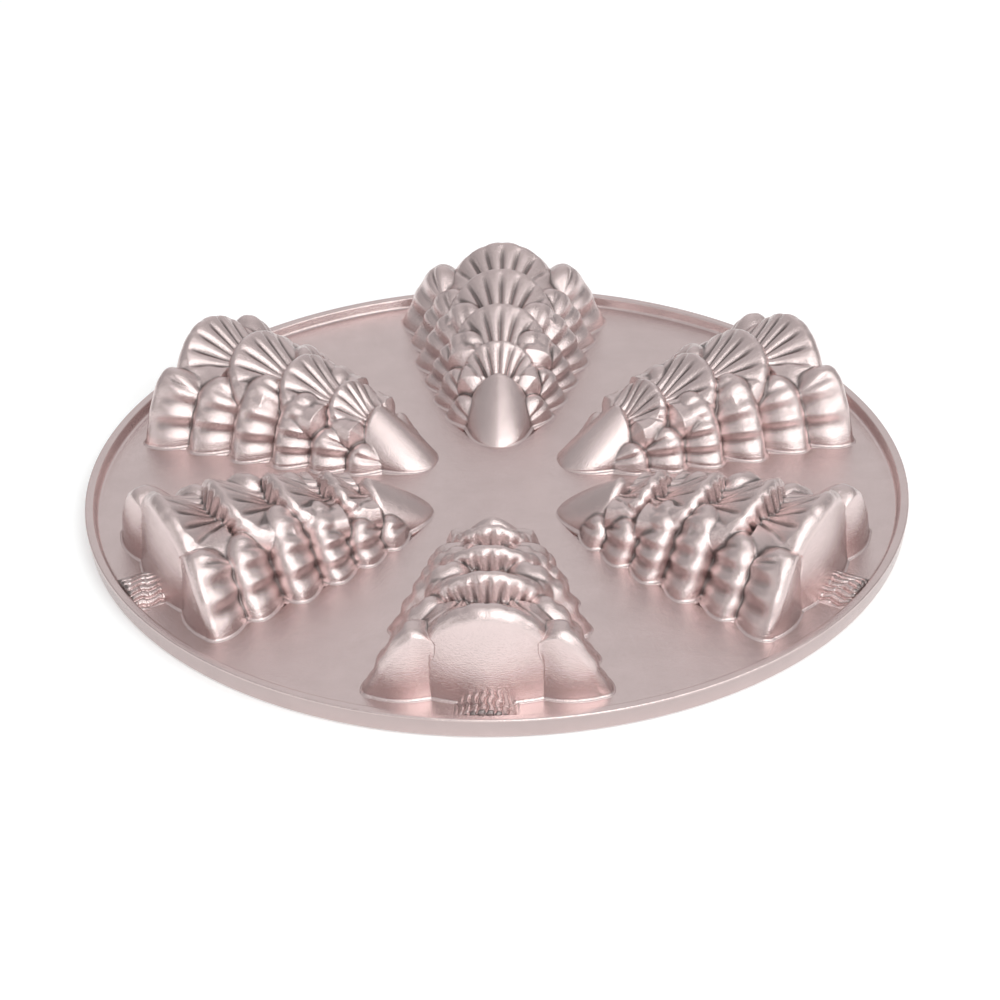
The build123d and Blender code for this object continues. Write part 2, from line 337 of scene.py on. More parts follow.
def side_bough(u, phi, lip, crest, run, drop, waist, flare, top, width, first, pitch, rings):
    """A finger that hangs down the flank: round along the cup, with a flare at the
    deck and a domed top, and with ring grooves that fan out a little round the top."""
    shoulder = (first + (rings - 0.5) * pitch) / waist
    length = (np.radians(top) - shoulder) * waist
    foot = np.exp(-np.abs(phi) / FLARE_ANGLE)
    edge = lip - FOOT_TURN_BACK * foot
    above = (phi - shoulder) * waist
    along = np.clip(u - edge + width, 0.0, None)
    across = np.clip(above, 0.0, None)
    share = np.hypot(along / width, across / length)
    away = np.hypot(along, across)
    span = away / np.maximum(share, TINY)
    upward = (across / np.maximum(away, TINY)) ** 2
    roll = SIDE_ROLL + (min(TOP_ROLL, TOP_ROLL_SHARE * length) - SIDE_ROLL) * upward
    fan = np.arctan2(across, np.clip(u - edge + width + run, LEAST_RAY, None))
    turns = (np.minimum(phi, shoulder) * waist - first) / pitch
    inside = np.where(away > 0.0, (1.0 - share) * span, width)
    face = fade(np.minimum(inside, LAST_FACE - u), *FACE_SPAN)
    face = RING_GROOVE_AT_LIP + (1.0 - RING_GROOVE_AT_LIP) * face
    ring = groove(turns, RING_GROOVE_WIDTH) * (turns > -0.5) * (rings > 0) * face
    rays = groove(fan * TOP_GROOVE_RAYS / np.pi + 0.5, TOP_GROOVE_WIDTH)
    rays = rays * fade(above, 0.0, TOP_GROOVE_START * length) * face
    inside = inside - SCALLOP_DEPTH * ring
    slope = (np.clip(crest - u, 0.0, None) / run) ** 2
    sink = 1.0 + TOP_SINK * fade(phi, shoulder, np.radians(top))
    body = waist + flare * foot - drop * sink * slope
    return body - RING_GROOVE_DEPTH * ring - TOP_GROOVE_DEPTH * rays - rolled_lip(inside, roll)


def cup_radius(u, phi):
    """The cup's relief: the largest of the tip, the fans and the side boughs."""
    flank = np.minimum(phi, np.pi - phi)
    radius = tip_surface(u, phi)
    for fan in CROWN_FANS:
        radius = softer_max(radius, crown_fan(u, phi, *fan), BOUGH_BLEND)
    for bough in SIDE_BOUGHS:
        radius = softer_max(radius, side_bough(u, flank, *bough), BOUGH_BLEND)
    return np.where(u > TIP_START, np.maximum(radius, 0.0), 0.0)


# The end wall of a cup: a middle panel and two side panels that bow outwards and
# lean in a little, so that the cake comes out of the mould.
WALL_CREASE = 18.4
WALL_CORNER = 40.8
WALL_AT_CREASE = 132.9
WALL_AT_CORNER = 130.7
MIDDLE_BOW = 3.3
SIDE_BOW = 2.7
WALL_DRAFT = 0.075
WALL_BLEND = 0.25


def end_wall(v, height):
    """Distance of the wall from the pan's centre: three parabolic bows less draft."""
    side = np.abs(v)
    middle = WALL_AT_CREASE + MIDDLE_BOW * (1.0 - (side / WALL_CREASE) ** 2)
    half = (WALL_CORNER - WALL_CREASE) / 2.0
    centre = WALL_CREASE + half
    chord = WALL_AT_CREASE + (WALL_AT_CORNER - WALL_AT_CREASE) * (side - WALL_CREASE) / (2.0 * half)
    outer = chord + SIDE_BOW * (1.0 - ((side - centre) / half) ** 2)
    return softer_max(middle, outer, WALL_BLEND) - WALL_DRAFT * height


# The skin of a cup is one grid. Rows run from the tip over the boughs and round the
# last lip, and then down the end wall. Columns run over the cup from flank to flank.
BOUGH_ROWS = 300
LIP_ROWS = 8
WALL_ROWS = 32
COLUMNS = 208
PROFILE_SAMPLES = 900
ROW_EVENING = 30
# Columns stand closer where two panels of the end wall meet: how much, at which angle
# over the cup, in which angle and width, and where the wall's own spacing takes over
DENSER = 2.5
DENSE_ANGLE = np.radians(52.0)
DENSE_WIDTH = np.radians(4.5)
DENSE_SPAN = 2.0
WALL_COLUMN_SHIFT = (0.12, 0.45)
# The fillet at the foot of a cup, and how soon it is there behind the tip
FOOT_FILLET = 1.2
FOOT_ONSET = 2.0
FOOT_SINE_LIMIT = 0.9
FOOT_STEPS = 5
AWAY_EVENING = 2
# The last lip, with its distance from the pan's centre found by a short search
END_ROLL_CROWN = 4.6
END_ROLL_SIDE = 3.6
END_ROLL_RISE = 4
END_GUESS = 130.0
END_SEARCH = 4
# The cake's side of the wall, which a ball of the wall's thickness wears down
CUP_WALL = 3.0
BALL_STEPS = 7
LEAST_GIRTH = 4.0
# The mouth of a cup ends a hair above the baking face, in steps down and outwards
MOUTH_GAP = 0.03
MOUTH_DEPTH = DECK_TOP - MOUTH_GAP
MOUTH_SHARES = np.array([0.4, 0.72, 0.9, 1.0])
MOUTH_FLARE = np.array([0.0, 0.0, 0.15, 0.6])


def row_places(radius_of, columns, first, last):
    """Distances along the cup for every row and column, spaced evenly along the
    profile, so that steep walls get as many rows as gentle slopes of like length."""
    share = np.linspace(0.0, 1.0, PROFILE_SAMPLES)[:, None]
    u = first + (last - first) * share
    radius = radius_of(u, np.broadcast_to(columns, u.shape))
    steps = np.hypot(np.diff(u, axis=0), np.diff(radius, axis=0))
    length = np.vstack([np.zeros(u.shape[1]), np.cumsum(steps, axis=0)])
    return u, length / length[-1]


def spaced_rows(radius_of, columns, rows, first, last):
    """Rows spread evenly along each column's profile, with the lengths evened between
    neighbouring columns first, so that the rows run smoothly."""
    u, length = row_places(radius_of, columns, first, last)
    for _ in range(ROW_EVENING):
        padded = np.pad(length, ((0, 0), (1, 1)), mode="edge")
        length = (padded[:, :-2] + 2.0 * padded[:, 1:-1] + padded[:, 2:]) / 4.0
    wanted = np.linspace(0.0, 1.0, rows + 1)
    places = np.array([np.interp(wanted, length[:, c], u[:, c]) for c in range(u.shape[1])]).T
    places[-1] = last
    return places


def end_roll(phi, thickness):
    """Radius of the last lip, larger on the crown than on the flanks."""
    return END_ROLL_SIDE + (END_ROLL_CROWN - END_ROLL_SIDE) * np.sin(phi) ** END_ROLL_RISE - thickness


def crest_end(radius_of, columns, thickness):
    """Where the last lip starts to turn down: one roll short of the end wall."""
    roll = end_roll(columns, thickness)
    u = np.full(columns.shape, END_GUESS)
    for _ in range(END_SEARCH):
        radius = radius_of(u, columns) - roll
        u = end_wall(radius * np.cos(columns), radius * np.sin(columns)) - thickness - roll
    return u


def spaced_by(density, places, count):
    """That many places out of a run of places, closer together where it is denser."""
    total = np.cumsum(density) - density[0]
    return np.interp(np.linspace(0.0, total[-1], count), total, places)


def column_angles(columns):
    """Angles of the columns: even, but closer where the end wall has its creases."""
    angle = np.linspace(0.0, np.pi, PROFILE_SAMPLES)
    off = np.minimum(np.abs(angle - DENSE_ANGLE), np.abs(np.pi - angle - DENSE_ANGLE))
    return spaced_by(1.0 + DENSER * np.exp(-(off / DENSE_WIDTH) ** 2), angle, columns + 1)


def wall_columns(across):
    """Places of the wall's columns: even, but closer where two panels meet."""
    place = np.linspace(across[0], across[-1], PROFILE_SAMPLES)
    off = np.abs(place) - WALL_CREASE
    return spaced_by(1.0 + DENSER * np.exp(-(off / DENSE_SPAN) ** 2), place, len(across))


def lip_grid(u, radius, phi, roll, rows):
    """Rows round the last lip: a quarter circle from the boughs' end to the wall."""
    angle = np.linspace(0.0, np.pi / 2, rows + 1)[1:, None]
    lowered = radius - roll * (1.0 - np.cos(angle))
    return np.stack([u + roll * np.sin(angle), lowered * np.cos(phi), lowered * np.sin(phi)], axis=-1)


def wall_grid(edge, rows, thickness):
    """Rows down the end wall from the lip's edge to the height of its two ends. What
    the edge stands off the wall fades out on the way down."""
    share = np.linspace(0.0, 1.0, rows + 1)[1:, None]
    height = edge[:, 2] + (edge[0, 2] - edge[:, 2]) * share
    moved = fade(share, *WALL_COLUMN_SHIFT)
    across = edge[:, 1] + (wall_columns(edge[:, 1]) - edge[:, 1]) * moved
    offset = edge[:, 0] - (end_wall(edge[:, 1], edge[:, 2]) - thickness)
    out = end_wall(across, height) - thickness + offset * (1.0 - share)
    return np.stack([out, across, height], axis=-1)


def skin_grid(radius_of, rows, lip_rows, wall_rows, columns, thickness, foot):
    """Points of the skin, row by row, in the cup's own axes: along, across, height.
    The outer columns run as high above the deck as the fillet at the foot."""
    spread = column_angles(columns)
    first = TIP_START + thickness
    last = crest_end(radius_of, spread, thickness)
    u = spaced_rows(radius_of, spread, rows, first, last)
    waist = radius_of(u[:, :1], np.zeros((rows + 1, 1)))
    fillet = foot * (1.0 - np.exp(-(u[:, :1] - first) / FOOT_ONSET))
    low = np.arcsin(np.clip(fillet / np.maximum(waist, TINY), 0.0, FOOT_SINE_LIMIT))
    phi = low + (np.pi - 2.0 * low) * np.broadcast_to(spread, u.shape) / np.pi
    radius = radius_of(u, phi)
    radius[0] = 0.0
    body = np.stack([u, radius * np.cos(phi), radius * np.sin(phi)], axis=-1)
    lip = lip_grid(u[-1], radius[-1], phi[-1], end_roll(spread, thickness), lip_rows)
    return np.concatenate([body, lip, wall_grid(lip[-1], wall_rows, thickness)])


def worn_down(u, phi):
    """The cake's side of the wall: the relief eaten away by a ball as wide as the
    wall is thick."""
    here = np.maximum(cup_radius(u, phi), LEAST_GIRTH)
    lowest = np.full(np.shape(here), np.inf)
    steps = np.linspace(-1.0, 1.0, BALL_STEPS) * CUP_WALL
    for along in steps:
        for across in steps:
            left = CUP_WALL**2 - along**2 - across**2
            if left < 0.0:
                continue
            turned = np.clip(phi + across / here, 0.0, np.pi)
            lowest = np.minimum(lowest, cup_radius(u + along, turned) - np.sqrt(left))
    return np.maximum(lowest, 0.0)


def whole_triangles(triangles):
    """The triangles whose three corners are all different points."""
    return triangles[(triangles != np.roll(triangles, 1, axis=1)).all(axis=1)]


def grid_triangles(index):
    """Two triangles for each cell of a grid of vertex numbers, less those with a
    corner that is there twice, as at a pole."""
    first, second = index[:-1, :-1], index[:-1, 1:]
    third, fourth = index[1:, 1:], index[1:, :-1]
    halves = [np.stack(corners, axis=-1).reshape(-1, 3)
              for corners in ((first, second, third), (first, third, fourth))]
    return whole_triangles(np.concatenate(halves))


def skin_index(rows, columns, body_rows, start):
    """Vertex numbers of the grid: its first row is one point, and below the last lip
    each outer column is one point."""
    index = start + np.arange(rows * columns).reshape(rows, columns)
    index[0, :] = index[0, 0]
    index[body_rows:, 0] = index[body_rows, 0]
    index[body_rows:, -1] = index[body_rows, -1]
    return index


def foot_loop(index, body_rows):
    """Vertex numbers along the foot: up one flank, along the end wall and back."""
    return np.concatenate([index[:body_rows + 1, 0], index[-1, 1:-1], index[body_rows::-1, -1]])


def outward(loop_points):
    """Level unit vectors that point away from the cup along its foot."""
    flat = loop_points[:, :2]
    ahead = np.roll(flat, -1, axis=0) - np.roll(flat, 1, axis=0)
    ahead[0] = flat[1] - flat[-2]
    ahead[-1] = ahead[0]
    for _ in range(AWAY_EVENING):
        ahead[1:-1] = (ahead[:-2] + 2.0 * ahead[1:-1] + ahead[2:]) / 4.0
    length = np.maximum(np.linalg.norm(ahead, axis=1, keepdims=True), TINY)
    return np.stack([-ahead[:, 1], ahead[:, 0]], axis=-1) / length


def foot_strip(points, away, out, height):
    """A profile carried along the foot: rows of distance outwards and height."""
    level = points[None, :, :2] + out[..., None] * away[None]
    return np.concatenate([level, height[..., None]], axis=-1)


def shell_half(radius_of, body_rows, lip_rows, wall_rows, columns, thickness, foot, start):
    """One side of a cup's wall down to the baking face: its points, triangles and the
    vertex numbers of its lowest edge."""
    grid = skin_grid(radius_of, body_rows, lip_rows, wall_rows, columns, thickness, foot)
    index = skin_index(grid.shape[0], grid.shape[1], body_rows + lip_rows, start)
    loop = foot_loop(index, body_rows + lip_rows)
    points = grid.reshape(-1, 3)
    edge = points[loop - start]
    low = edge[None, :, 2]
    if foot > 0.0:
        angle = np.linspace(0.0, np.pi / 2, FOOT_STEPS + 1)[1:, None]
        out = np.concatenate([low * (1.0 - np.cos(angle)), low])
        height = np.concatenate([low * (1.0 - np.sin(angle)), 0.0 * low - MOUTH_DEPTH])
    else:
        out = MOUTH_FLARE[:, None] + 0.0 * low
        height = -MOUTH_DEPTH * MOUTH_SHARES[:, None] + 0.0 * low
    strip = foot_strip(edge, outward(edge), out, height)
    strip_index = start + len(points) + np.arange(strip[..., 0].size).reshape(strip.shape[:2])
    strip_index[:, -1] = strip_index[:, 0]
    around = np.concatenate([loop[None], strip_index])
    triangles = np.concatenate([grid_triangles(index), grid_triangles(around)])
    return np.concatenate([points, strip.reshape(-1, 3)]), triangles, strip_index[-1]


def cup_mesh():
    """Points and triangles of a cup: the boughs, the cake's side of the wall turned
    the other way, and a flat ring between their edges with two outer points to one."""
    outside, outer_triangles, outer_edge = shell_half(
        cup_radius, BOUGH_ROWS, LIP_ROWS, WALL_ROWS, COLUMNS, 0.0, FOOT_FILLET, 0)
    inside, inner_triangles, inner_edge = shell_half(
        worn_down, BOUGH_ROWS // 2, LIP_ROWS // 2, WALL_ROWS // 2, COLUMNS // 2,
        CUP_WALL, 0.0, len(outside))
    even, odd, following = outer_edge[:-1:2], outer_edge[1::2], outer_edge[2::2]
    here, there = inner_edge[:-1], inner_edge[1:]
    ring = [np.stack(corners, axis=-1)
            for corners in ((even, odd, here), (odd, there, here), (odd, following, there))]
    triangles = np.concatenate([outer_triangles, inner_triangles[:, ::-1]] + ring)
    return np.concatenate([outside, inside]), whole_triangles(triangles)


# The hollow of the trunk runs through the end wall from the cake's side, as a round
# channel that the cutter leaves. The bar below has its shape.
TRUNK_CENTRE = -7.5
HOLLOW_RADIUS = 9.7
HOLLOW_START = 125.9
HOLLOW_END = 142.2
BAR_SIDES = 96


def hollow_bar():
    """A closed round bar along the cup: its points and its faces."""
    angle = np.linspace(0.0, 2.0 * np.pi, BAR_SIDES, endpoint=False)
    across = HOLLOW_RADIUS * np.cos(angle)
    height = TRUNK_CENTRE + HOLLOW_RADIUS * np.sin(angle)
    ends = [np.stack([np.full(BAR_SIDES, u), across, height], axis=-1)
            for u in (HOLLOW_START, HOLLOW_END)]
    near = np.arange(BAR_SIDES)
    after = np.roll(near, -1)
    sides = np.stack([near, after, after + BAR_SIDES, near + BAR_SIDES], axis=-1)
    faces = sides.tolist() + [near[::-1].tolist(), (near + BAR_SIDES).tolist()]
    return np.concatenate(ends), faces


def scratch_object(name, points, faces):
    """A mesh object in metres that is only there to be cut or to cut."""
    mesh = bpy.data.meshes.new(name)
    mesh.from_pydata(points * MM, [], faces)
    item = bpy.data.objects.new(name, mesh)
    bpy.context.scene.collection.objects.link(item)
    return item


def with_hollow(points, triangles):
    """The cup's points and triangles after the bar has been cut out of them."""
    whole = scratch_object("cup_blank", points, triangles.tolist())
    bar = scratch_object("trunk_bar", *hollow_bar())
    cut = whole.modifiers.new("trunk_hollow", "BOOLEAN")
    cut.operation = "DIFFERENCE"
    cut.solver = "MANIFOLD"
    cut.object = bar
    mesh = whole.evaluated_get(bpy.context.evaluated_depsgraph_get()).to_mesh()
    mesh.calc_loop_triangles()
    kept_points = np.empty(3 * len(mesh.vertices))
    mesh.vertices.foreach_get("co", kept_points)
    kept_triangles = np.empty(3 * len(mesh.loop_triangles), dtype=np.int32)
    mesh.loop_triangles.foreach_get("vertices", kept_triangles)
    for item in (whole, bar):
        blank = item.data
        bpy.data.objects.remove(item)
        bpy.data.meshes.remove(blank)
    return kept_points.reshape(-1, 3) / MM, kept_triangles.reshape(-1, 3)


cup_points, cup_triangles = with_hollow(*cup_mesh())

# Shade is painted into the hollows of the relief. How far around a point its hollow is
# felt, in edges, and the distances along the cup over which that painted shade fades out at the end
# wall:
HOLLOW_REACH = 12
UNSHADED_END = (127.5, 129.5)


def point_sums(numbers, values, total):
    """For each point, the sum of the rows of values that have its number."""
    return np.stack([np.bincount(numbers, weights=values[:, axis], minlength=total)
                     for axis in range(3)], axis=-1)


def hollow_depths(points, faces):
    """How far each point lies under the surface around it, in the points' own unit: the
    surface is evened out by averages over the neighbours, and the way from the point
    to its evened place is measured along the point's normal."""
    after = np.roll(faces, -1, axis=1)
    first = np.concatenate([faces.ravel(), after.ravel()])
    second = np.concatenate([after.ravel(), faces.ravel()])
    total = len(points)
    count = np.maximum(np.bincount(first, minlength=total), 1)[:, None]
    evened = points
    for _ in range(HOLLOW_REACH):
        evened = point_sums(first, evened[second], total) / count
    corners = points[faces[:, :3]]
    faced = np.cross(corners[:, 1] - corners[:, 0], corners[:, 2] - corners[:, 0])
    normal = point_sums(faces.ravel(), np.repeat(faced, faces.shape[1], axis=0), total)
    normal = normal / np.maximum(np.linalg.norm(normal, axis=1, keepdims=True), TINY)
    return ((evened - points) * normal).sum(axis=1)


def set_around(points, number):
    """Cup points in metres, turned to the place of that cup around the pan."""
    angle = np.radians(FIRST_CUP_ANGLE + number * 360.0 / CUP_COUNT)
    x = points[:, 0] * np.cos(angle) - points[:, 1] * np.sin(angle)
    y = points[:, 0] * np.sin(angle) + points[:, 1] * np.cos(angle)
    return np.stack([x, y, points[:, 2] + DECK_TOP], axis=-1) * MM


def smooth_piece(name, points, faces, material, hollow):
    """A smooth-shaded mesh object at the origin, with its place in its vertices, and
    with a depth at each of them that sets how much shade is painted into its colour."""
    mesh = bpy.data.meshes.new(name)
    mesh.from_pydata(points, [], faces.tolist())
    mesh.polygons.foreach_set("use_smooth", np.ones(len(mesh.polygons), dtype=bool))
    mesh.materials.append(material)
    depths = mesh.attributes.new("hollow", "FLOAT", "POINT")
    depths.data.foreach_set("value", hollow)
    piece = bpy.data.objects.new(name, mesh)
    bpy.context.scene.collection.objects.link(piece)
    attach(piece, "root")
    return piece


# Painted shade for the cups: how deep each point lies in a hollow, none on the end wall
unshaded_end = fade(cup_points[:, 0], *UNSHADED_END)
cup_hollow = hollow_depths(cup_points, cup_triangles) * (1.0 - unshaded_end)
for number in range(CUP_COUNT):
    cup = smooth_piece(f"tree_cup_{number + 1}", set_around(cup_points, number), cup_triangles,
                       relief_coat, cup_hollow)
    for region in ("tip_boughs", "middle_boughs", "base_boughs", "end_wall"):
        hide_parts(f"{region}_{number + 1}")

# The trunks. A short half log is cast on the deck from each end wall to the rim. Its
# bark is in the mould: wavy plates along the log with cracks between and across them.
TRUNK_START = 133.6
TRUNK_END = 146.9
TRUNK_RADIUS = 12.35
TRUNK_FOOT_RADIUS = 13.0
FOOT_ANGLES = np.radians((35.0, 41.0))
TRUNK_LOW = np.radians(18.75)
TRUNK_ROWS = 56
TRUNK_COLUMNS = 132
# The log's end turns down over this radius, and stops short of upright
TRUNK_ROLL = 1.1
ROLL_REACH = 0.98 * TRUNK_ROLL
# The cracks are short. The painted shade on the trunks is three quarters of what the depth
# of a hollow gives; the trunks' faces point inwards, so it falls on the backs of the plates
# and not in the cracks.
TRUNK_SHADE_SHARE = 0.75

# Plates of bark, and by how much they differ from plate to plate and log to log
PLATE_WIDTH = 2.75
PLATE_CROWN = 0.25
PLATE_LENGTH = 8.5
LENGTH_SPREAD = 0.25
LENGTH_STEP = 2.4
PLATE_STAGGER = 0.61
TRUNK_STAGGER = 0.2
TRUNK_SHIFT = 0.37
# Waves in the plates' edges: size in plate widths, length along the log, turn for
# each mm across it, and turn from log to log
EDGE_WAVES = (
    (0.17, 7.5, 0.35, 1.3),
    (0.03, 3.1, 0.8, 2.1),
)
CRACK_DEPTH = 1.0
CRACK_WIDTH = 0.36
CROSS_CRACK_SHARE = 0.2
CROSS_CRACK_LEAN = 0.3


def bark(u, across, number):
    """Height of the bark: rounded plates whose edges wave along the log, less narrow
    cracks along the edges and staggered cracks across each plate."""
    turns = across / PLATE_WIDTH + TRUNK_SHIFT * number
    for size, wave_length, slant, step in EDGE_WAVES:
        turns = turns + size * np.sin(2.0 * np.pi * u / wave_length + slant * across + step * number)
    plate = np.floor(turns)
    inside = turns - plate - 0.5
    edge = (0.5 - np.abs(inside)) * PLATE_WIDTH
    length = PLATE_LENGTH * (1.0 + LENGTH_SPREAD * np.sin(LENGTH_STEP * plate + number))
    along = u / length + PLATE_STAGGER * plate + TRUNK_STAGGER * number
    end = np.abs(along - np.round(along)) * length + CROSS_CRACK_LEAN * inside
    cross_crack = CROSS_CRACK_SHARE * np.exp(-(end / CRACK_WIDTH) ** 2)
    crack = np.maximum(np.exp(-(edge / CRACK_WIDTH) ** 2), cross_crack)
    return PLATE_CROWN * (1.0 - 4.0 * inside**2) - CRACK_DEPTH * crack


def trunk_top(u, number):
    """Outer arc of each section: part of a circle with the bark on it, a foot that
    spreads into the deck, and an end that turns down as a quarter circle."""
    angle = np.linspace(TRUNK_LOW, np.pi - TRUNK_LOW, TRUNK_COLUMNS)[None, :]
    above = fade(np.minimum(angle, np.pi - angle), *FOOT_ANGLES)
    relief = bark(u, TRUNK_RADIUS * (angle - np.pi / 2), number) * above
    past = np.clip(u - (TRUNK_END - TRUNK_ROLL), 0.0, ROLL_REACH)
    drop = TRUNK_ROLL - np.sqrt(TRUNK_ROLL**2 - past**2)
    radius = TRUNK_FOOT_RADIUS + (TRUNK_RADIUS - TRUNK_FOOT_RADIUS) * above + relief - drop
    height = TRUNK_CENTRE + radius * np.sin(angle)
    height[:, [0, -1]] = -MOUTH_DEPTH
    return np.stack([np.broadcast_to(u, radius.shape), radius * np.cos(angle), height], axis=-1)


def trunk_channel(u):
    """Inner arc of each section: the hollow's circle, and past the end of the hollow a
    flat line on the baking face."""
    low = np.arcsin((-MOUTH_DEPTH - TRUNK_CENTRE) / HOLLOW_RADIUS)
    turn = np.linspace(np.pi - low, low, TRUNK_COLUMNS)[None, :]
    rows = np.arange(len(u))[:, None]
    is_open = rows <= np.flatnonzero(u[:, 0] == HOLLOW_END)[0]
    height = np.where(is_open, TRUNK_CENTRE + HOLLOW_RADIUS * np.sin(turn), -MOUTH_DEPTH)
    across = np.broadcast_to(HOLLOW_RADIUS * np.cos(turn), height.shape)
    return np.stack([np.broadcast_to(u, height.shape), across, height], axis=-1)


def section_cap(section):
    """Quads that close an end section, from its outer arc straight to its inner one."""
    outer, inner = section[:TRUNK_COLUMNS], section[:TRUNK_COLUMNS - 1:-1]
    return np.stack([outer[:-1], outer[1:], inner[1:], inner[:-1]], axis=-1)


def trunk_mesh(number):
    """The log from section to section: each is a loop of its outer and its inner arc,
    quads join them, and a cap closes each end."""
    share = np.linspace(0.0, 1.0, TRUNK_ROWS)
    u = TRUNK_START + (TRUNK_END - TRUNK_START) * share
    u = np.sort(np.concatenate([u, [HOLLOW_END, HOLLOW_END]]))[:, None]
    loop = np.concatenate([trunk_top(u, number), trunk_channel(u)], axis=1)
    index = np.arange(loop[..., 0].size).reshape(loop.shape[:2])
    around = np.concatenate([index, index[:, :1]], axis=1)
    sides = np.stack([around[:-1, :-1], around[1:, :-1], around[1:, 1:], around[:-1, 1:]], axis=-1)
    back = section_cap(index[0])
    front = section_cap(index[-1])[:, [1, 0, 3, 2]]
    return loop.reshape(-1, 3), np.concatenate([sides.reshape(-1, 4), back, front])


for number in range(CUP_COUNT):
    trunk_points, trunk_faces = trunk_mesh(number)
    # Painted shade for the bark, on the backs of its plates
    trunk_hollow = TRUNK_SHADE_SHARE * hollow_depths(trunk_points, trunk_faces)
    trunk = smooth_piece(f"bark_trunk_{number + 1}", set_around(trunk_points, number),
                         trunk_faces, relief_coat, trunk_hollow)
    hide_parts(f"trunk_{number + 1}")

# The rim. A low band is cast around the deck: a narrow flat top with rounded edges, a
# steep inner face that runs out into the deck, and an outer face down to the foot.
RIM_STEPS = 360
# Profile corners: radius, height and the radius of the rounding there
RIM_CORNERS = (
    (144.6, 0.05, 0.0),
    (149.5, 0.0, 0.9),
    (150.4, 7.35, 0.9),
    (147.1, 7.35, 0.8),
    (146.1, 3.5, 1.1),
    (144.6, 3.45, 0.0),
)
ROUNDING_STEPS = 7
# The outer face of the band, below its upper edge, gets painted shade: it is given the
# depth of a hollow, which darkens its colour
RIM_FACE = (149.2, 149.9)
RIM_EDGE = (6.3, 7.2)
RIM_SHADE_DEPTH = 0.24


def rounded_profile(corners, steps):
    """A closed outline whose corners are cut by quadratic curves that leave each side
    at the corner's rounding length."""
    place = np.array([corner[:2] for corner in corners])
    reach = np.array([corner[2] for corner in corners])[:, None]
    before = np.roll(place, 1, axis=0) - place
    after = np.roll(place, -1, axis=0) - place
    start = place + reach * before / np.linalg.norm(before, axis=1, keepdims=True)
    end = place + reach * after / np.linalg.norm(after, axis=1, keepdims=True)
    share = np.linspace(0.0, 1.0, steps)[None, :, None]
    curve = ((1.0 - share) ** 2 * start[:, None] + 2.0 * share * (1.0 - share) * place[:, None]
             + share**2 * end[:, None])
    outline = curve.reshape(-1, 2)
    apart = np.linalg.norm(outline - np.roll(outline, 1, axis=0), axis=1) > TINY
    return outline[apart]


def turned_ring(outline, steps):
    """The outline carried once round the pan's axis, in metres."""
    angle = np.linspace(0.0, 2.0 * np.pi, steps, endpoint=False)[:, None]
    x = outline[None, :, 0] * np.cos(angle)
    y = outline[None, :, 0] * np.sin(angle)
    z = np.broadcast_to(outline[None, :, 1], x.shape)
    index = np.arange(x.size).reshape(x.shape)
    beside = np.roll(index, -1, axis=0)
    corners = (index, beside, np.roll(beside, -1, axis=1), np.roll(index, -1, axis=1))
    points = np.stack([x, y, z], axis=-1).reshape(-1, 3) * MM
    return points, np.stack(corners, axis=-1).reshape(-1, 4)


rim_points, rim_faces = turned_ring(rounded_profile(RIM_CORNERS, ROUNDING_STEPS), RIM_STEPS)
# Painted shade on the band's outer face, set as the depth of a hollow
rim_out = fade(np.hypot(rim_points[:, 0], rim_points[:, 1]) / MM, *RIM_FACE)
rim_low = 1.0 - fade(rim_points[:, 2] / MM, *RIM_EDGE)
rim_band = smooth_piece("rim_band", rim_points, rim_faces, cast_coat, RIM_SHADE_DEPTH * rim_out * rim_low)
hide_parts("rim")

# The studio. Pale walls and five soft lamps stand round a white floor. Lengths are in
# metres from here on. First the room: its level of light, and parts that are brighter,
# each by its direction, the cosine where it begins and the level it adds.
ROOM_LEVEL = 0.46
ROOM_PARTS = (
    ((0.52, -0.84, 0.15), 0.2, 0.26),
    ((0.0, 0.86, 0.52), 0.72, 0.26),
    ((0.0, 0.0, 1.0), 0.4, 0.17),
)
DIFFUSE_LEVEL = 1.2
WHITE = (1.0, 1.0, 1.0, 1.0)


def room_level(nodes, links):
    """Brightness of the room by direction: a plain level and a few soft brighter parts."""
    place = nodes.new("ShaderNodeTexCoord")
    level = ROOM_LEVEL
    for direction, begins, added in ROOM_PARTS:
        facing = nodes.new("ShaderNodeVectorMath")
        facing.operation = "DOT_PRODUCT"
        links.new(place.outputs["Generated"], facing.inputs[0])
        facing.inputs[1].default_value = direction
        part = range_node(nodes, links, facing.outputs["Value"], (begins, 1.0), (0.0, added))
        part.interpolation_type = "SMOOTHSTEP"
        level = math_node(nodes, links, "ADD", part.outputs["Result"], level)
    return level


def white_room():
    """A world of pale walls. The camera sees plain white, and gloss and glass see the
    same walls that light the room."""
    world = bpy.data.worlds.new("white_room")
    world.use_nodes = True
    nodes = world.node_tree.nodes
    links = world.node_tree.links
    level = room_level(nodes, links)
    rays = nodes.new("ShaderNodeLightPath").outputs
    seen = math_node(nodes, links, "MAXIMUM", rays["Is Camera Ray"], rays["Is Transmission Ray"])
    shown = nodes.new("ShaderNodeBackground")
    links.new(math_node(nodes, links, "MAXIMUM", level, seen), shown.inputs["Strength"])
    light = nodes["Background"]
    links.new(math_node(nodes, links, "MULTIPLY", level, DIFFUSE_LEVEL), light.inputs["Strength"])
    choose = nodes.new("ShaderNodeMixShader")
    is_shown = math_node(nodes, links, "MAXIMUM", seen, rays["Is Glossy Ray"])
    links.new(is_shown, choose.inputs["Fac"])
    links.new(light.outputs[0], choose.inputs[1])
    links.new(shown.outputs[0], choose.inputs[2])
    links.new(choose.outputs[0], nodes["World Output"].inputs["Surface"])
    for paint in (light, shown):
        paint.inputs["Color"].default_value = WHITE
    return world


bpy.context.scene.world = white_room()

# The camera looks at the middle of the pan from in front, about 32 degrees up.
CAMERA_PLACE = (0.0276, -0.8498, 0.5242)
CAMERA_ROLL = np.radians(-1.086)
SENSOR = 36.0
FOCAL_PER_SENSOR = 2.707264
PRINCIPAL_SHIFT = (0.0034, -0.0063)

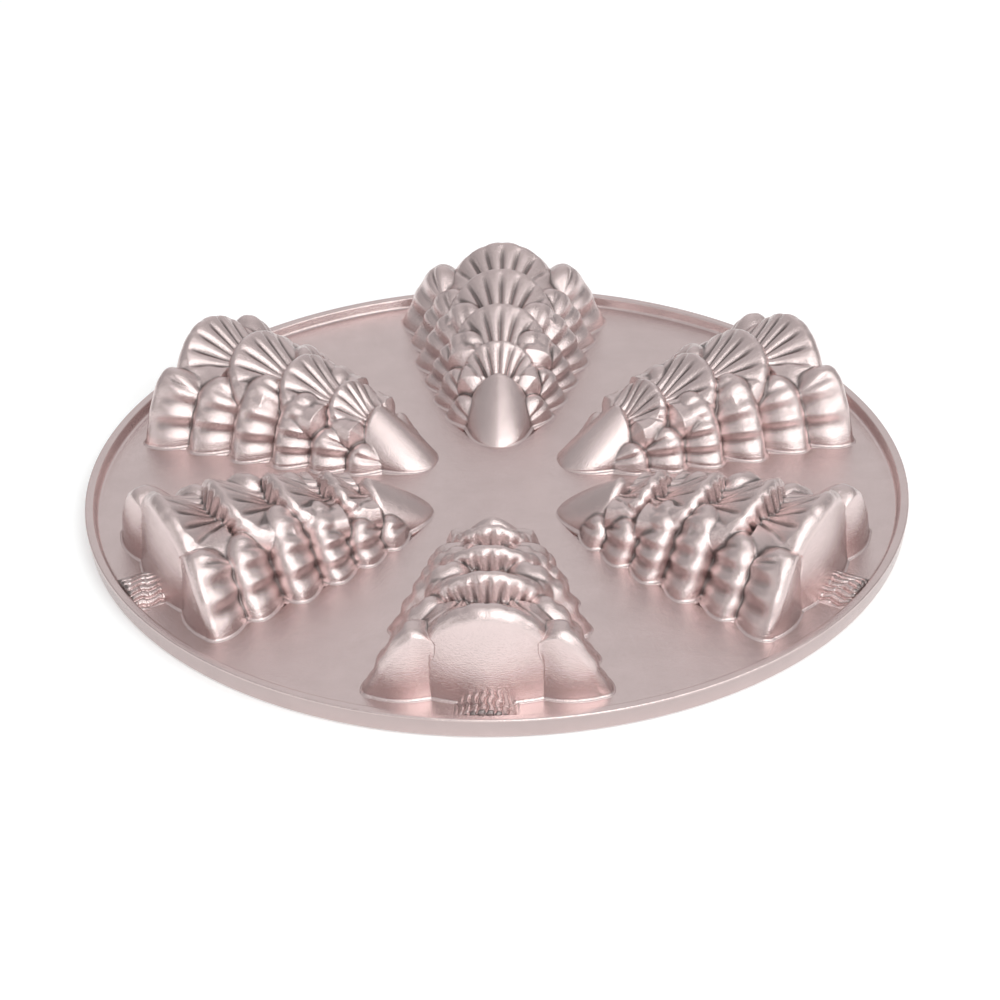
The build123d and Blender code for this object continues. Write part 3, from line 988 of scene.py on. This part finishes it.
camera_place = Vector(CAMERA_PLACE)
forward = -camera_place.normalized()
right = forward.cross(Vector((0.0, 0.0, 1.0))).normalized()
up = right.cross(forward)
rolled_right = right * np.cos(CAMERA_ROLL) + up * np.sin(CAMERA_ROLL)
rolled_up = up * np.cos(CAMERA_ROLL) - right * np.sin(CAMERA_ROLL)
lens = bpy.data.cameras.new("camera")
lens.sensor_width = SENSOR
lens.lens = SENSOR * FOCAL_PER_SENSOR
lens.shift_x, lens.shift_y = PRINCIPAL_SHIFT
camera = bpy.data.objects.new("camera", lens)
facing = Matrix((rolled_right, rolled_up, -forward)).transposed()
camera.matrix_world = Matrix.Translation(camera_place) @ facing.to_4x4()
bpy.context.scene.collection.objects.link(camera)
bpy.context.scene.camera = camera

# The lamps are large soft boxes that face the middle of the pan: place, width, height
# and power in watts.
LAMP_COLOUR = (0.96, 1.0, 0.985)
LAMPS = {
    "key_lamp": ((0.88, -0.35, 0.72), 0.42, 1.05, 2.4),
    "second_key": ((0.47, -0.88, 0.7), 0.42, 1.05, 2.4),
    "front_lamp": ((0.2, -1.13, 0.66), 0.55, 0.8, 2.6),
    "top_lamp": ((0.03, -0.45, 1.11), 0.8, 0.35, 1.0),
    "fill_lamp": ((-0.95, -0.57, 0.4), 0.4, 0.5, 0.65),
}

for name, (place, width, height, power) in LAMPS.items():
    box = bpy.data.lights.new(name, "AREA")
    box.shape = "RECTANGLE"
    box.size = width
    box.size_y = height
    box.energy = power
    box.color = LAMP_COLOUR
    lamp = bpy.data.objects.new(name, box)
    turned = (-Vector(place)).to_track_quat("-Z", "Y").to_matrix().to_4x4()
    lamp.matrix_world = Matrix.Translation(Vector(place)) @ turned
    bpy.context.scene.collection.objects.link(lamp)

# The floor is white paper that takes the pan's shadow. It lies a hair below the foot.
FLOOR_REACH = 3.0
FLOOR_HEIGHT = -0.0004
PAPER_WHITE = (0.9, 0.9, 0.9, 1.0)
PAPER_ROUGHNESS = 0.9
PAPER_GLOW = 0.26


def white_paper():
    """Matt white paper. To the camera, gloss and glass it is a little brighter, up to
    the white of the room."""
    material = bpy.data.materials.new("white_paper")
    material.use_nodes = True
    nodes = material.node_tree.nodes
    links = material.node_tree.links
    surface = nodes["Principled BSDF"]
    surface.inputs["Base Color"].default_value = PAPER_WHITE
    surface.inputs["Roughness"].default_value = PAPER_ROUGHNESS
    surface.inputs["Emission Color"].default_value = PAPER_WHITE
    rays = nodes.new("ShaderNodeLightPath").outputs
    seen = math_node(nodes, links, "MAXIMUM", rays["Is Camera Ray"], rays["Is Glossy Ray"])
    seen = math_node(nodes, links, "MAXIMUM", seen, rays["Is Transmission Ray"])
    glow = math_node(nodes, links, "MULTIPLY", seen, PAPER_GLOW)
    links.new(glow, surface.inputs["Emission Strength"])
    return material


floor_mesh = bpy.data.meshes.new("floor")
floor_corners = [(x * FLOOR_REACH, y * FLOOR_REACH, FLOOR_HEIGHT)
                 for x, y in ((-1, -1), (1, -1), (1, 1), (-1, 1))]
floor_mesh.from_pydata(floor_corners, [], [(0, 1, 2, 3)])
floor_mesh.materials.append(white_paper())
floor = bpy.data.objects.new("floor", floor_mesh)
bpy.context.scene.collection.objects.link(floor)

bpy.context.scene.view_settings.view_transform = "Standard"
